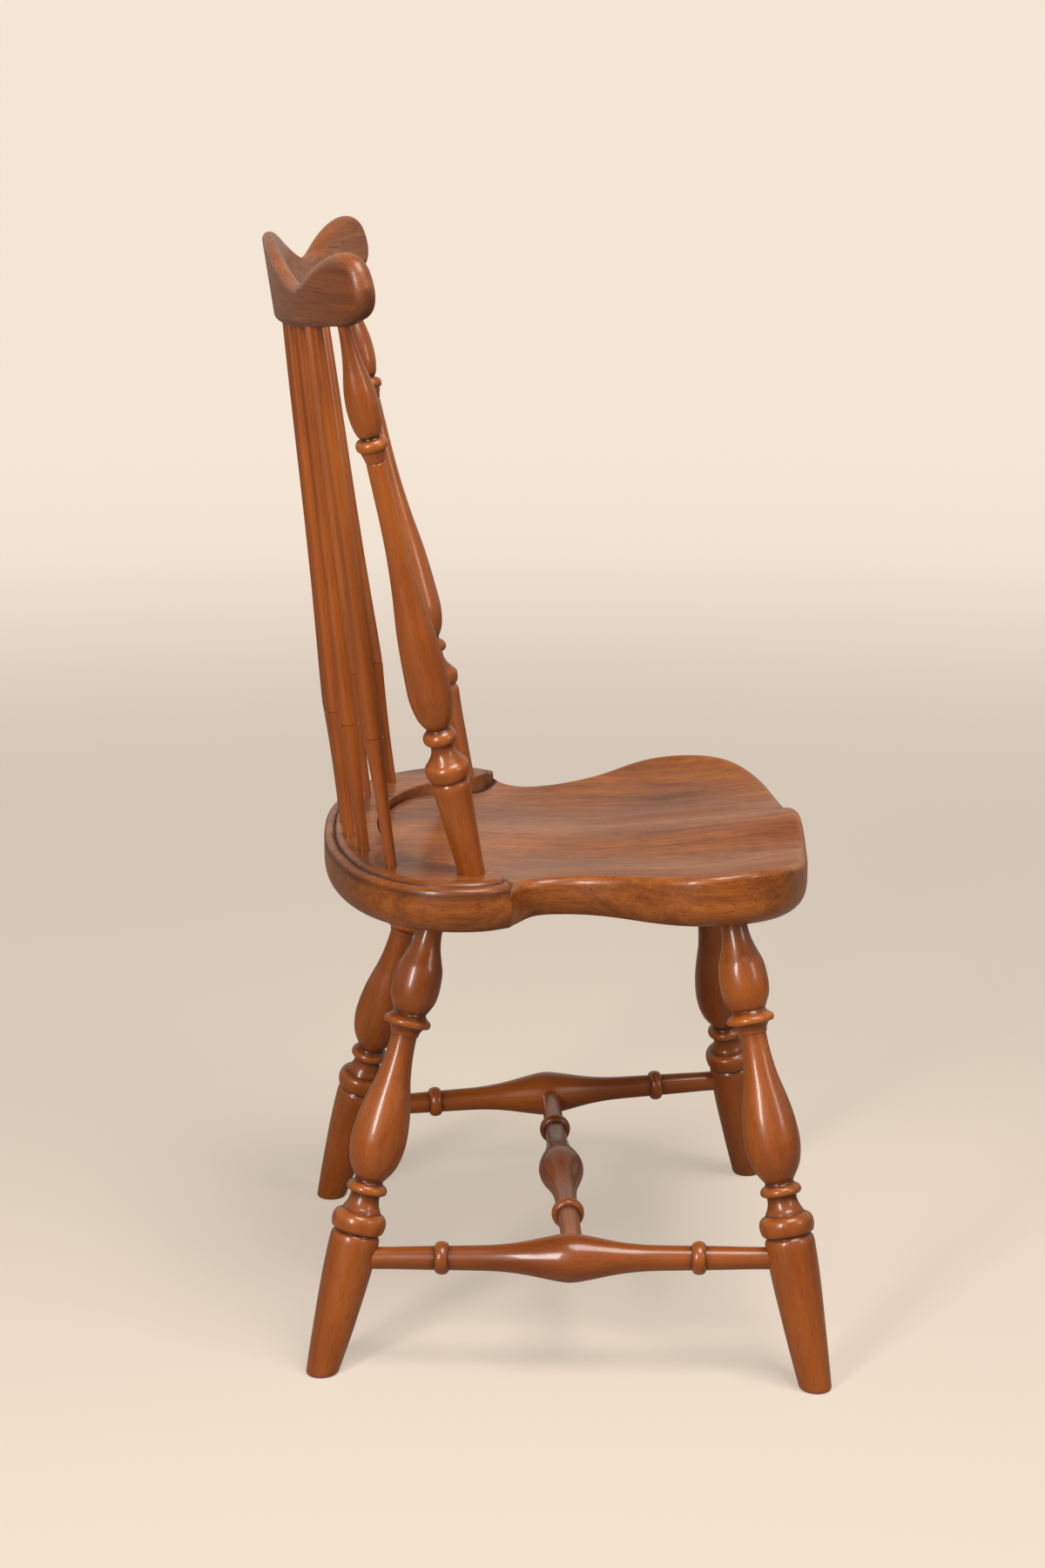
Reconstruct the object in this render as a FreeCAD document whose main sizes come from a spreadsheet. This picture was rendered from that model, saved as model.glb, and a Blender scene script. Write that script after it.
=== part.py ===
import FreeCAD, Part
import math
import os

from FreeCAD import Placement, Rotation, Vector

# A comb-back side chair: a carved plank seat on four turned and splayed legs, an H of turned
# stretchers, and a back of two turned stiles and seven spindles under a bowed comb rail with ears.
# Millimetres, +Z up, the sitter faces -Y and has +X on the left. The origin is on the floor under
# the middle of the chair. Heights are above the floor; "back" and "forward" are measured from the
# line through the two front tips of the seat's raised platform.

SIZES = {
    "tip_line_y": 30.7,
    # legs: where each axis meets the floor, and how far it moves for each millimetre of height
    "rear_foot_x": 198.5, "rear_foot_back": 155.1,
    "rear_lean_in": 0.1755, "rear_lean_forward": 0.255,
    "front_foot_x": 244.8, "front_foot_forward": 243.7,
    "front_lean_in": 0.2354, "front_lean_back": 0.1725,
    "front_leg_extra": 6.0,
    # side stretchers, one end's axis height at each leg, and the cross stretcher between them
    "side_rear_height": 93.0, "side_front_height": 102.7,
    "cross_forward": 51.0, "cross_height": 97.9,
    # seat plank
    "seat_bottom": 374.0, "seat_bevel_top": 389.0, "seat_blank_top": 430.0,
    "platform_top": 414.0, "bead_top": 411.2,
    "gutter_depth": 5.5, "gutter_width": 5.0, "bead_width": 10.0,
    "seat_side_draw_in": 9.0, "seat_rear_draw_in": 3.0,
    # saddle, at stations from back to front: how far back, half the seat's width there, and the
    # heights of the middle ridge, the two hollows and the rims
    "back_at": 60.0, "back_half": 215.0,
    "back_ridge": 407.0, "back_hollow": 406.5, "back_rim": 408.5,
    "waist_at": -40.0, "waist_half": 162.0,
    "waist_ridge": 402.0, "waist_hollow": 398.5, "waist_rim": 407.0,
    "thigh_at": -100.0, "thigh_half": 186.0,
    "thigh_ridge": 404.5, "thigh_hollow": 398.5, "thigh_rim": 414.0,
    "knee_at": -155.0, "knee_half": 214.0,
    "knee_ridge": 409.0, "knee_hollow": 400.5, "knee_rim": 421.5,
    "lobe_at": -207.0, "lobe_half": 200.0,
    "lobe_ridge": 415.0, "lobe_hollow": 404.5, "lobe_rim": 424.0,
    "front_at": -262.0, "front_half": 160.0,
    "front_ridge": 421.0, "front_hollow": 408.0, "front_rim": 419.0,
    # back stiles and spindles
    "stile_foot_x": 168.0, "stile_foot_back": 31.0,
    "stile_head_x": 233.5, "stile_head_back": 129.7, "stile_head_height": 851.0,
    "back_twist": 0.95,
    "stile_tenon": 26.0, "stile_head_tenon": 17.0,
    "spindle_foot_gap": 48.7, "spindle_foot_back": 133.5, "spindle_foot_arc": 296.0,
    "spindle_head_gap": 57.0, "spindle_head_back": 175.5,
    "spindle_tenon": 14.0, "spindle_head_tenon": 14.0,
    # comb rail: a board bowed to one radius and leaned back, thinner at its top edge than below
    "comb_radius": 600.0, "comb_thickness": 20.0, "comb_lean": 8.3, "comb_bottom": 839.5,
    "comb_bottom_rise": 12.0, "comb_lower_round": 5.0, "comb_ear_turn": 285.0,
}

# Turnings. Each entry is the name of a point on the profile, its station along the axis and its
# radius. Stations run up from the floor or the seat, or outward from the middle of a stretcher.

LEG = (
    ("sole", -8.0, 12.2), ("shin", 45.0, 16.9), ("calf", 90.0, 19.9),
    ("shoulder", 116.0, 20.2), ("groove", 119.0, 18.3), ("ring_low", 122.5, 21.6),
    ("ring_high", 133.5, 21.6), ("ledge", 138.0, 15.8), ("cove", 150.0, 12.0),
    ("collar", 155.0, 16.7), ("collar_high", 159.0, 15.8), ("neck", 163.0, 11.8),
    ("vase_foot", 169.5, 15.4),
    ("vase_swell", 180.0, 20.2), ("vase_belly", 197.0, 22.7), ("vase_chest", 215.0, 21.4),
    ("vase_waist", 240.0, 16.1), ("vase_throat", 262.0, 12.1), ("vase_neck", 284.0, 10.5),
    ("flare", 293.0, 14.6), ("flange_low", 295.0, 18.8), ("flange", 298.5, 19.0),
    ("flange_top", 305.0, 13.2), ("bulb_foot", 311.0, 16.5), ("bulb", 325.0, 19.7),
    ("bulb_chest", 341.0, 18.5), ("bulb_waist", 356.0, 13.7), ("bulb_neck", 370.0, 10.6),
    ("tenon", 408.0, 10.6),
)

STILE = (
    ("tenon", -26.0, 11.0), ("foot", 6.0, 11.0), ("shin", 50.0, 13.4), ("shoulder", 77.5, 15.8),
    ("groove", 81.0, 14.4), ("ring_low", 85.0, 16.6), ("ring", 92.0, 17.7), ("ledge", 98.5, 14.6),
    ("cove", 104.0, 10.2), ("cove_top", 112.0, 8.8), ("collar_low", 115.0, 12.6),
    ("collar", 119.0, 13.5), ("neck", 125.5, 9.0), ("vase_foot", 132.0, 12.6),
    ("vase_swell", 142.0, 15.6), ("vase_belly", 158.0, 17.3), ("vase_chest", 190.0, 16.0),
    ("vase_waist", 225.0, 12.7), ("vase_throat", 255.0, 9.7), ("stem_low", 290.0, 7.8),
    ("stem_high", 344.0, 7.6), ("bead_foot", 354.0, 9.4), ("bead_low", 356.5, 12.0),
    ("bead", 362.0, 12.0), ("bead_neck", 365.5, 7.6), ("tip_swell", 375.0, 11.2),
    ("tip_belly", 389.0, 12.6), ("tip_waist", 410.0, 10.2), ("tip_neck", 430.0, 6.7),
    ("head", 449.0, 4.9), ("head_tenon", 470.0, 4.9),
)

# The last two stations of a spindle are measured back from its head.
SPINDLE = (
    ("tenon", -14.0, 4.7), ("foot", 3.0, 4.7), ("shin", 50.0, 5.3), ("calf", 82.0, 6.5),
    ("swell", 106.3, 8.1), ("groove", 108.0, 7.2), ("swell_top", 109.7, 8.1),
    ("taper_low", 140.0, 7.3), ("taper", 190.0, 6.1), ("stem", 260.0, 5.2),
    ("head", -6.0, 4.7), ("head_tenon", 14.0, 4.7),
)

SIDE_STRETCHER = (
    ("tenon", 174.5, 9.0), ("rod", 150.0, 9.0), ("ring_out", 109.5, 9.8),
    ("ring_rise", 107.5, 13.0), ("ring", 104.5, 13.6), ("ring_fall", 101.5, 13.0),
    ("ring_in", 99.5, 10.1), ("arm", 66.0, 10.5), ("arm_swell", 45.0, 12.5),
    ("shoulder", 25.0, 16.1), ("crown", 9.0, 19.2), ("middle", 0.0, 20.0),
)

CROSS_STRETCHER = (
    ("tenon", 192.0, 8.5), ("rod", 170.0, 8.5), ("ring_out", 108.5, 9.2),
    ("ring_rise", 106.5, 13.1), ("ring", 103.5, 13.7), ("ring_fall", 100.5, 13.1),
    ("ring_in", 98.5, 9.3), ("arm", 66.0, 9.6), ("arm_swell", 45.0, 11.7),
    ("shoulder", 24.0, 16.6), ("crown", 9.0, 19.1), ("middle", 0.0, 19.5),
)

LEG_SIDES = 14
STILE_SIDES = 12
SPINDLE_SIDES = 8
STRETCHER_SIDES = 12

# Seat outlines, as distance from the middle and distance back (+) or forward (-) of the tip line.
REAR_EDGE = ((198.0, 0.0), (209.0, 18.0), (212.0, 46.0), (205.0, 74.0), (188.0, 98.0),
             (158.0, 120.5), (112.0, 138.0), (61.0, 148.5), (0.0, 151.5))
SIDE_EDGE = ((198.0, 0.0), (178.0, -6.0), (164.5, -20.0), (161.5, -38.0), (166.0, -62.0),
             (184.0, -98.0), (204.0, -126.0), (214.0, -152.0), (211.5, -182.0),
             (195.5, -211.0), (158.0, -235.0), (100.0, -247.5), (0.0, -254.0))
REAR_UNDER = ((191.0, 2.0), (200.0, 20.0), (202.0, 45.0), (195.0, 70.0), (179.0, 91.0),
              (151.0, 112.0), (108.0, 130.0), (60.0, 141.0), (0.0, 144.0))
SIDE_UNDER = ((191.0, 2.0), (171.0, -10.0), (157.0, -22.0), (153.5, -40.0), (157.0, -66.0),
              (171.0, -95.0), (184.0, -120.0), (189.5, -150.0), (185.0, -180.0),
              (172.0, -206.0), (145.0, -226.0), (95.0, -244.0), (0.0, -251.0))
GUTTER = ((230.0, 2.0), (190.0, 3.5), (172.0, 11.0), (156.0, 24.0), (147.0, 42.0),
          (136.0, 61.0), (112.0, 80.0), (70.0, 98.0), (0.0, 107.0))

# Comb rail, from the middle out: arc length, height of the top edge and its thickness there.
COMB_TOP = (
    (0.0, 907.5, 10.0), (30.0, 906.0, 10.0), (56.0, 902.0, 10.0), (80.0, 896.0, 10.0),
    (102.0, 889.3, 10.5), (121.0, 883.5, 11.0), (139.0, 878.9, 11.5), (156.0, 877.0, 12.0),
    (174.0, 879.8, 13.0), (196.0, 888.0, 14.0), (219.0, 896.6, 15.0), (242.0, 903.2, 16.0),
    (262.0, 906.2, 17.0), (274.0, 904.8, 17.0), (282.0, 900.5, 16.0), (286.5, 894.0, 14.0),
    (289.0, 884.0, 9.0),
)
# Ear end: arc length and height of the lower edge, beyond the rail's long lower curve.
EAR_BOTTOM = {262.0: 854.7, 274.0: 857.0, 282.0: 861.5, 286.5: 867.0, 289.0: 874.0}

doc = FreeCAD.newDocument("comb_back_chair")
sheet = doc.addObject("Spreadsheet::Sheet", "Sizes")
row = 0


def write_cell(alias, value):
    global row
    row += 1
    sheet.set("A%d" % row, alias.replace("_", " "))
    sheet.set("B%d" % row, repr(float(value)))
    sheet.setAlias("B%d" % row, alias)


def write_turning(prefix, profile):
    for point, station, radius in profile:
        write_cell("%s_%s_at" % (prefix, point), station)
        write_cell("%s_%s_radius" % (prefix, point), radius)


for name, value in SIZES.items():
    write_cell(name, value)
write_turning("leg", LEG)
write_turning("stile", STILE)
write_turning("spindle", SPINDLE)
write_turning("side", SIDE_STRETCHER)
write_turning("cross", CROSS_STRETCHER)
for index, (arc_length, top_height, top_thickness) in enumerate(COMB_TOP):
    write_cell("comb_%d_arc" % index, arc_length)
    write_cell("comb_%d_top" % index, top_height)
    write_cell("comb_%d_thickness" % index, top_thickness)
doc.recompute()


def size(alias):
    return float(getattr(sheet, alias))


def seat_point(across, back, height):
    return Vector(across, back + size("tip_line_y"), height)


# Turned pieces: rings of many sides set square to the axis, joined by flat facets

def ring(sides, station, radius):
    corners = []
    for step in range(sides):
        angle = 2.0 * math.pi * (step + 0.5) / sides
        corners.append(Vector(radius * math.cos(angle), radius * math.sin(angle), station))
    return corners


def flat_face(corners):
    return Part.Face(Part.makePolygon(corners + corners[:1]))


def skin(name, rings, halved):
    faces = [flat_face(rings[0]), flat_face(rings[-1])]
    for lower, upper in zip(rings, rings[1:]):
        for step in range(len(lower)):
            beside = (step + 1) % len(lower)
            quad = [lower[step], lower[beside], upper[beside], upper[step]]
            if halved:
                faces += [flat_face(quad[:3]), flat_face([quad[0], quad[2], quad[3]])]
            else:
                faces.append(flat_face(quad))
    shell = Part.makeShell(faces)
    shell.sewShape()
    solid = Part.makeSolid(shell)
    if solid.Volume < 0:
        solid.reverse()
    piece = doc.addObject("Part::Feature", name)
    piece.Shape = solid
    return piece


def turning(name, profile, sides, start, end):
    piece = skin(name, [ring(sides, station, radius) for station, radius in profile], False)
    piece.Placement = Placement(start, Rotation(Vector(0, 0, 1), end - start))
    return piece


def upright_turning(name, prefix, profile, sides, start, end, shift=0.0):
    sized = []
    for point, station, radius in profile:
        alias = "%s_%s" % (prefix, point)
        sized.append((size(alias + "_at") + shift, size(alias + "_radius")))
    return turning(name, sized, sides, start, end)


def spindle_turning(name, start, end):
    sized = []
    length = (end - start).Length
    for point, station, radius in SPINDLE:
        from_head = length if point.startswith("head") else 0.0
        sized.append((size("spindle_%s_at" % point) + from_head,
                      size("spindle_%s_radius" % point)))
    return turning(name, sized, SPINDLE_SIDES, start, end)


def stretcher_turning(name, prefix, profile, start, end):
    sized = []
    for sign, points in ((-1.0, profile), (1.0, profile[-2::-1])):
        for point, station, radius in points:
            alias = "%s_%s" % (prefix, point)
            sized.append((sign * size(alias + "_at"), size(alias + "_radius")))
    return turning(name, sized, STRETCHER_SIDES, (start + end) * 0.5, end)


def cut(name, base, tool):
    result = doc.addObject("Part::Cut", name)
    result.Base = base
    result.Tool = tool
    return result


def leg_axis(end, side, height):
    if end == "rear":
        across = size("rear_foot_x") - size("rear_lean_in") * height
        back = size("rear_foot_back") - size("rear_lean_forward") * height
    else:
        across = size("front_foot_x") - size("front_lean_in") * height
        back = -size("front_foot_forward") + size("front_lean_back") * height
    return seat_point(side * across, back, height)


floor = doc.addObject("Part::Box", "floor_cut")
floor.Length = 700
floor.Width = 700
floor.Height = 60
floor.Placement = Placement(Vector(-350, -350, -60), Rotation())

SIDES = (("left", 1.0), ("right", -1.0))
side_turnings = {}
side_points = {}
for side_name, side in SIDES:
    rear_end = leg_axis("rear", side, size("side_rear_height"))
    front_end = leg_axis("front", side, size("side_front_height"))
    side_points[side_name] = (rear_end, front_end)
    side_turnings[side_name] = stretcher_turning(
        "%s_stretcher_turning" % side_name, "side", SIDE_STRETCHER, rear_end, front_end)

cross_ends = []
for side_name, side in SIDES:
    rear_end, front_end = side_points[side_name]
    share = ((rear_end.y - size("tip_line_y") + size("cross_forward")) / (rear_end.y - front_end.y))
    cross_ends.append(rear_end + (front_end - rear_end) * share)
cross_turning = stretcher_turning("cross_stretcher", "cross", CROSS_STRETCHER,
                                  cross_ends[0], cross_ends[1])

nodes = []
leg_turnings = []
for end in ("rear", "front"):
    shift = 0.0 if end == "rear" else size("front_leg_extra")
    for side_name, side in SIDES:
        name = "%s_%s_leg" % (end, side_name)
        leg = upright_turning(name + "_turning", "leg", LEG, LEG_SIDES, leg_axis(end, side, 0.0),
                              leg_axis(end, side, size("seat_bottom")), shift)
        leg_turnings.append(leg)
        standing = cut(name + "_standing", leg, floor)
        nodes.append((name, cut(name, standing, side_turnings[side_name])))

for side_name, side in SIDES:
    name = "%s_side_stretcher" % side_name
    nodes.append((name, cut(name, side_turnings[side_name], cross_turning)))
nodes.append(("cross_stretcher", cross_turning))

# Back: stiles and spindles. Its top stands slightly turned on the seat, as the chair was made.

def twisted(point):
    middle = seat_point(0.0, size("stile_head_back"), 0.0)
    return middle + Rotation(Vector(0, 0, 1), size("back_twist")).multVec(point - middle)


back_turnings = []
for side_name, side in SIDES:
    name = "%s_stile" % side_name
    foot = seat_point(side * size("stile_foot_x"), size("stile_foot_back"), size("platform_top"))
    head = twisted(seat_point(side * size("stile_head_x"), size("stile_head_back"),
                              size("stile_head_height")))
    stile = upright_turning(name, "stile", STILE, STILE_SIDES, foot, head)
    back_turnings.append(stile)
    nodes.append((name, stile))


def on_arc(across, middle_back, radius):
    return middle_back - radius + math.sqrt(radius * radius - across * across)


def comb_bottom_height(across):
    share = across / size("stile_head_x")
    return size("comb_bottom") + size("comb_bottom_rise") * share * share


SPINDLE_NAMES = ("right_outer", "right_middle", "right_inner", "centre",
                 "left_inner", "left_middle", "left_outer")
for number, label in enumerate(SPINDLE_NAMES):
    step = number - 3
    foot_x = step * size("spindle_foot_gap")
    head_x = step * size("spindle_head_gap")
    foot_back = on_arc(foot_x, size("spindle_foot_back"), size("spindle_foot_arc"))
    head_height = comb_bottom_height(head_x)
    head_back = on_arc(head_x, size("spindle_head_back"), size("comb_radius"))
    foot = seat_point(foot_x, foot_back, size("platform_top"))
    head = twisted(seat_point(head_x, head_back, head_height))
    spindle = spindle_turning("%s_spindle" % label, foot, head)
    back_turnings.append(spindle)
    nodes.append(("%s_spindle" % label, spindle))


# Seat: a plank sawn to its outline and bevelled below, then carved

def spline(points):
    curve = Part.BSplineCurve()
    curve.interpolate(points)
    return curve


def arc_chain(points, count):
    curve = spline(points)
    stops = []
    for step in range(2 * count + 1):
        distance = curve.length() * step / (2 * count)
        stops.append(curve.value(curve.parameterAtDistance(distance, curve.FirstParameter)))
    return [Part.Arc(*stops[2 * k:2 * k + 3]) for k in range(count)]


def inset(points, distance):
    result = []
    for index, (across, back) in enumerate(points):
        before = points[max(index - 1, 0)]
        after = points[min(index + 1, len(points) - 1)]
        along = Vector(after[0] - before[0], after[1] - before[1], 0.0)
        along.normalize()
        if index == len(points) - 1:
            along = Vector(-1, 0, 0)
        result.append((across - along.y * distance, back + along.x * distance))
    return result


def both_sides(half):
    run = [seat_point(across, back, 0.0) for across, back in half]
    return run + [Vector(-p.x, p.y, 0.0) for p in run[-2::-1]]


def closed_outline(name, rear, side_row, height_expression):
    sketch = doc.addObject("Sketcher::SketchObject", name)
    sketch.setExpression("Placement.Base.z", height_expression)
    for arc in arc_chain(both_sides(rear), 12) + arc_chain(both_sides(side_row), 32):
        sketch.addGeometry(arc)
    return sketch


TIP = SIDE_EDGE[0]
top_rear = [TIP] + inset(REAR_EDGE, size("seat_rear_draw_in"))[1:]
top_side = [TIP] + inset(SIDE_EDGE, -size("seat_side_draw_in"))[1:]
under = closed_outline("seat_under_outline", REAR_UNDER, SIDE_UNDER, "Sizes.seat_bottom")
edge = closed_outline("seat_edge_outline", REAR_EDGE, SIDE_EDGE, "Sizes.seat_bevel_top")
top = closed_outline("seat_top_outline", top_rear, top_side, "Sizes.seat_blank_top")
plank = doc.addObject("Part::Loft", "seat_plank")
plank.Sections = [under, edge, top]
plank.Solid = True
plank.Ruled = True


def prism(name, sketch, height_expression, bottom_expression):
    block = doc.addObject("Part::Extrusion", name)
    block.Base = sketch
    block.DirMode = "Custom"
    block.Dir = Vector(0, 0, 1)
    block.Solid = True
    block.setExpression("LengthFwd", height_expression)
    sketch.setExpression("Placement.Base.z", bottom_expression)
    return block


def region_behind(name, points, far_back):
    sketch = doc.addObject("Sketcher::SketchObject", name)
    run = both_sides(points)
    for arc in arc_chain(run, 10):
        sketch.addGeometry(arc)
    corners = [run[0], Vector(run[0].x, far_back, 0.0), Vector(run[-1].x, far_back, 0.0), run[-1]]
    for first, second in zip(corners, corners[1:]):
        sketch.addGeometry(Part.LineSegment(first, second))
    return sketch


behind = prism("behind_gutter", region_behind("behind_gutter_outline", GUTTER, 220.0),
               "Sizes.seat_blank_top - Sizes.seat_bottom + 10", "Sizes.seat_bottom - 5")
gutter_front = inset(GUTTER, size("gutter_width"))
gutter_zone = prism("gutter_zone", region_behind("gutter_front_outline", gutter_front, 220.0),
                    "60", "Sizes.platform_top - Sizes.gutter_depth - 3.5")
gutter = cut("gutter", gutter_zone, behind)

# The saddle: cross-sections from back to front, each a smooth curve from rim to rim

LIP = 250.0
LID = size("seat_blank_top") + 20.0


def saddle_section(name, back, where):
    half_width = size(where + "_half")
    ridge = size(where + "_ridge")
    hollow = size(where + "_hollow")
    rim = size(where + "_rim")
    half = [(0.0, ridge), (0.42 * half_width, hollow), (half_width, rim), (LIP, rim + 2.0)]
    run = [Vector(-across, height, 0.0) for across, height in half[:0:-1]]
    run += [Vector(across, height, 0.0) for across, height in half]
    sketch = doc.addObject("Sketcher::SketchObject", name)
    sketch.addGeometry(spline(run))
    corners = [run[-1], Vector(LIP, LID, 0.0), Vector(-LIP, LID, 0.0), run[0]]
    for first, second in zip(corners, corners[1:]):
        sketch.addGeometry(Part.LineSegment(first, second))
    sketch.Placement = Placement(seat_point(0.0, back, 0.0), Rotation(Vector(1, 0, 0), 90))
    return sketch


sections = [saddle_section("saddle_section_rear", 150.0, "back")]
for where in ("back", "waist", "thigh", "knee", "lobe", "front"):
    sections.append(saddle_section("saddle_section_" + where, size(where + "_at"), where))
saddle = doc.addObject("Part::Loft", "saddle_cutter")
saddle.Sections = sections
saddle.Solid = True
saddle.Ruled = False

saddle_ahead = cut("saddle_ahead_of_gutter", saddle, behind)
saddled = cut("seat_saddled", plank, saddle_ahead)
guttered = cut("seat_guttered", saddled, gutter)

# Rear platform: a flat top inside a lower bead that follows its outer edge

def slab_above(name, height_expression):
    slab = doc.addObject("Part::Box", name)
    slab.Length = 600
    slab.Width = 400
    slab.Height = 60
    slab.Placement = Placement(Vector(-300, -100, 0), Rotation())
    slab.setExpression("Placement.Base.z", height_expression)
    return slab


def common(name, base, tool):
    result = doc.addObject("Part::Common", name)
    result.Base = base
    result.Tool = tool
    return result


above_platform = common("above_platform", slab_above("platform_slab", "Sizes.platform_top"), behind)
above_bead = common("above_bead", slab_above("bead_slab", "Sizes.bead_top"), behind)
inner_edge = inset(REAR_EDGE, size("bead_width"))
inner_edge = [(inner_edge[0][0] - 1.0, -30.0)] + inner_edge
inner = prism("inside_bead", region_behind("inside_bead_outline", inner_edge, -30.0),
              "90", "Sizes.seat_bottom")
bead_cutter = cut("bead_cutter", above_bead, inner)
flat = cut("seat_flat_platform", guttered, above_platform)
beaded = cut("seat_beaded", flat, bead_cutter)
tenons = doc.addObject("Part::Compound", "seat_tenons")
tenons.Links = leg_turnings + back_turnings
nodes.append(("seat", cut("seat", beaded, tenons)))

# Comb rail: cross-sections square to the bow, from one ear round to the other

lean_rotation = Rotation(Vector(1, 0, 0), -size("comb_lean"))
bow_middle = seat_point(0.0, size("spindle_head_back"), size("comb_bottom"))
LEAN = math.radians(size("comb_lean"))


def comb_section(arc_length, top, top_thickness):
    radius = size("comb_radius")
    turn = arc_length / radius
    sag = radius * (1.0 - math.cos(turn))
    across = radius * math.sin(turn)
    bottom = EAR_BOTTOM.get(abs(arc_length), comb_bottom_height(across))
    lift = size("comb_bottom") + sag * math.sin(LEAN)
    low = (bottom - lift) / math.cos(LEAN)
    high = (top - lift) / math.cos(LEAN)
    rear = size("comb_thickness") / 2.0
    front = -rear
    if abs(arc_length) > size("comb_ear_turn"):
        rear = top_thickness / 2.0 + 2.0
        front = -rear
    edge = rear - top_thickness
    under = min(size("comb_lower_round"), 0.3 * (high - low))
    crown = min(top_thickness / 2.0, 0.4 * (high - low))
    shape = [(front + under * 0.7, low), (rear - under, low), (rear, low + under),
             (rear, high - crown), (rear - top_thickness * 0.15, high - crown * 0.35),
             (rear - top_thickness * 0.5, high), (edge + top_thickness * 0.15, high - crown * 0.35),
             (edge, high - crown), (front, low + 0.45 * (high - low)), (front, low + under)]
    corners = []
    for out, height in shape:
        flat = Vector((radius + out) * math.sin(turn), (radius + out) * math.cos(turn) - radius,
                      height)
        corners.append(twisted(bow_middle + lean_rotation.multVec(flat)))
    return corners


half_comb = [[size("comb_%d_%s" % (index, part)) for part in ("arc", "top", "thickness")]
             for index in range(len(COMB_TOP))]
stations = [(-u, top_height, thickness) for u, top_height, thickness in half_comb[:0:-1]]
stations += half_comb
comb_blank = skin("comb_blank", [comb_section(*station) for station in stations], True)
comb_tenons = doc.addObject("Part::Compound", "comb_tenons")
comb_tenons.Links = back_turnings
nodes.append(("comb_rail", cut("comb_rail", comb_blank, comb_tenons)))

doc.recompute()
for item in doc.Objects:
    if "Invalid" in item.State or "Error" in item.State:
        raise RuntimeError("%s did not build" % item.Name)
for name, node in nodes:
    node.Label = name
    if node.Shape.isNull() or not node.Shape.isValid():
        raise RuntimeError("%s has no valid shape" % name)
os.makedirs("parts", exist_ok=True)
for name, node in nodes:
    node.Shape.exportStep("parts/%s.step" % name)
    print("%-24s %d solid, %4d faces, %7.1f cm3" % (
        name, len(node.Shape.Solids), len(node.Shape.Faces), node.Shape.Volume / 1000.0))
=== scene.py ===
import math

import bmesh
import bpy
import numpy as np
from mathutils import Matrix, Vector


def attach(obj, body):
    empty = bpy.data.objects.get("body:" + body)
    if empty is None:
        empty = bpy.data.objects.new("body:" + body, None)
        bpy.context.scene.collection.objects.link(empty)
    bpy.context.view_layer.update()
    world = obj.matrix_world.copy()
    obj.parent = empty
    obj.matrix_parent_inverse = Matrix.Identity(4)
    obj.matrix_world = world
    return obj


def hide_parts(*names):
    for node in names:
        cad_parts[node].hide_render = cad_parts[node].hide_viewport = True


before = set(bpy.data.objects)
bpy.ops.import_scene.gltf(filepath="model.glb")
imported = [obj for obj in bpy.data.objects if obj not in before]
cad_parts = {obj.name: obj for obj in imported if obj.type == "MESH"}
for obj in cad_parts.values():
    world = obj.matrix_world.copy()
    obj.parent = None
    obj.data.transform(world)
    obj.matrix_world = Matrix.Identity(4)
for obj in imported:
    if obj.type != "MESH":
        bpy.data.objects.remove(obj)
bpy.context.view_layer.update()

# Sizes are millimetres in the chair's own frame, as in the CAD source, up to the floor and
# backdrop: +Z up, the sitter faces -Y, the origin on the floor under the middle of the chair.
# Distances back are counted from the line through the two tips of the seat's rear platform.
TIP_LINE = 30.7
TWIST = math.radians(0.95)

SEAT_BOTTOM = 374.0
EDGE_BEVEL_TOP = 391.5
PLATFORM_TOP = 414.0
STILE_FOOT_X = 168.0
STILE_FOOT_BACK = 31.0
STILE_HEAD_X = 233.5
STILE_HEAD_BACK = 129.7
STILE_HEAD_Z = 851.0
SPINDLE_FOOT_PITCH = 48.7
SPINDLE_FOOT_BACK = 133.5
SPINDLE_FOOT_BOW = 296.0
SPINDLE_HEAD_PITCH = 57.0
COMB_BOTTOM = 839.5
COMB_END_RISE = 12.0
COMB_BACK = 175.5
COMB_BOW = 600.0
COMB_LEAN = math.radians(8.3)
COMB_THICK = 20.0


def at(x, back, z):
    return np.array([x, back + TIP_LINE, z], float)


def twisted(points):
    """The top of the back stands slightly turned on the seat."""
    middle = at(0.0, STILE_HEAD_BACK, 0.0)
    moved = np.asarray(points, float) - middle
    x, y, z = moved[..., 0], moved[..., 1], moved[..., 2]
    turned_x = x * math.cos(TWIST) - y * math.sin(TWIST)
    turned_y = x * math.sin(TWIST) + y * math.cos(TWIST)
    return np.stack([turned_x, turned_y, z], -1) + middle


def natural(knots, values):
    """Second derivatives of the natural cubic through the values."""
    gaps = np.diff(knots)
    count = len(knots)
    system = np.eye(count)
    right = np.zeros((count, values.shape[1]))
    for i in range(1, count - 1):
        system[i, i - 1:i + 2] = gaps[i - 1], 2.0 * (gaps[i - 1] + gaps[i]), gaps[i]
        right[i] = 6.0 * ((values[i + 1] - values[i]) / gaps[i]
                          - (values[i] - values[i - 1]) / gaps[i - 1])
    return np.linalg.solve(system, right)


def cubic(knots, values, wanted):
    """The natural cubic through the values, at the wanted places."""
    knots = np.asarray(knots, float)
    values = np.asarray(values, float).reshape(len(knots), -1)
    bend = natural(knots, values)
    wanted = np.asarray(wanted, float)
    span = np.clip(np.searchsorted(knots, wanted) - 1, 0, len(knots) - 2)
    gap = (knots[span + 1] - knots[span])[:, None]
    after = (wanted - knots[span])[:, None] / gap
    before = 1.0 - after
    return (before * values[span] + after * values[span + 1]
            + ((before ** 3 - before) * bend[span] + (after ** 3 - after) * bend[span + 1])
            * gap ** 2 / 6.0)


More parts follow.
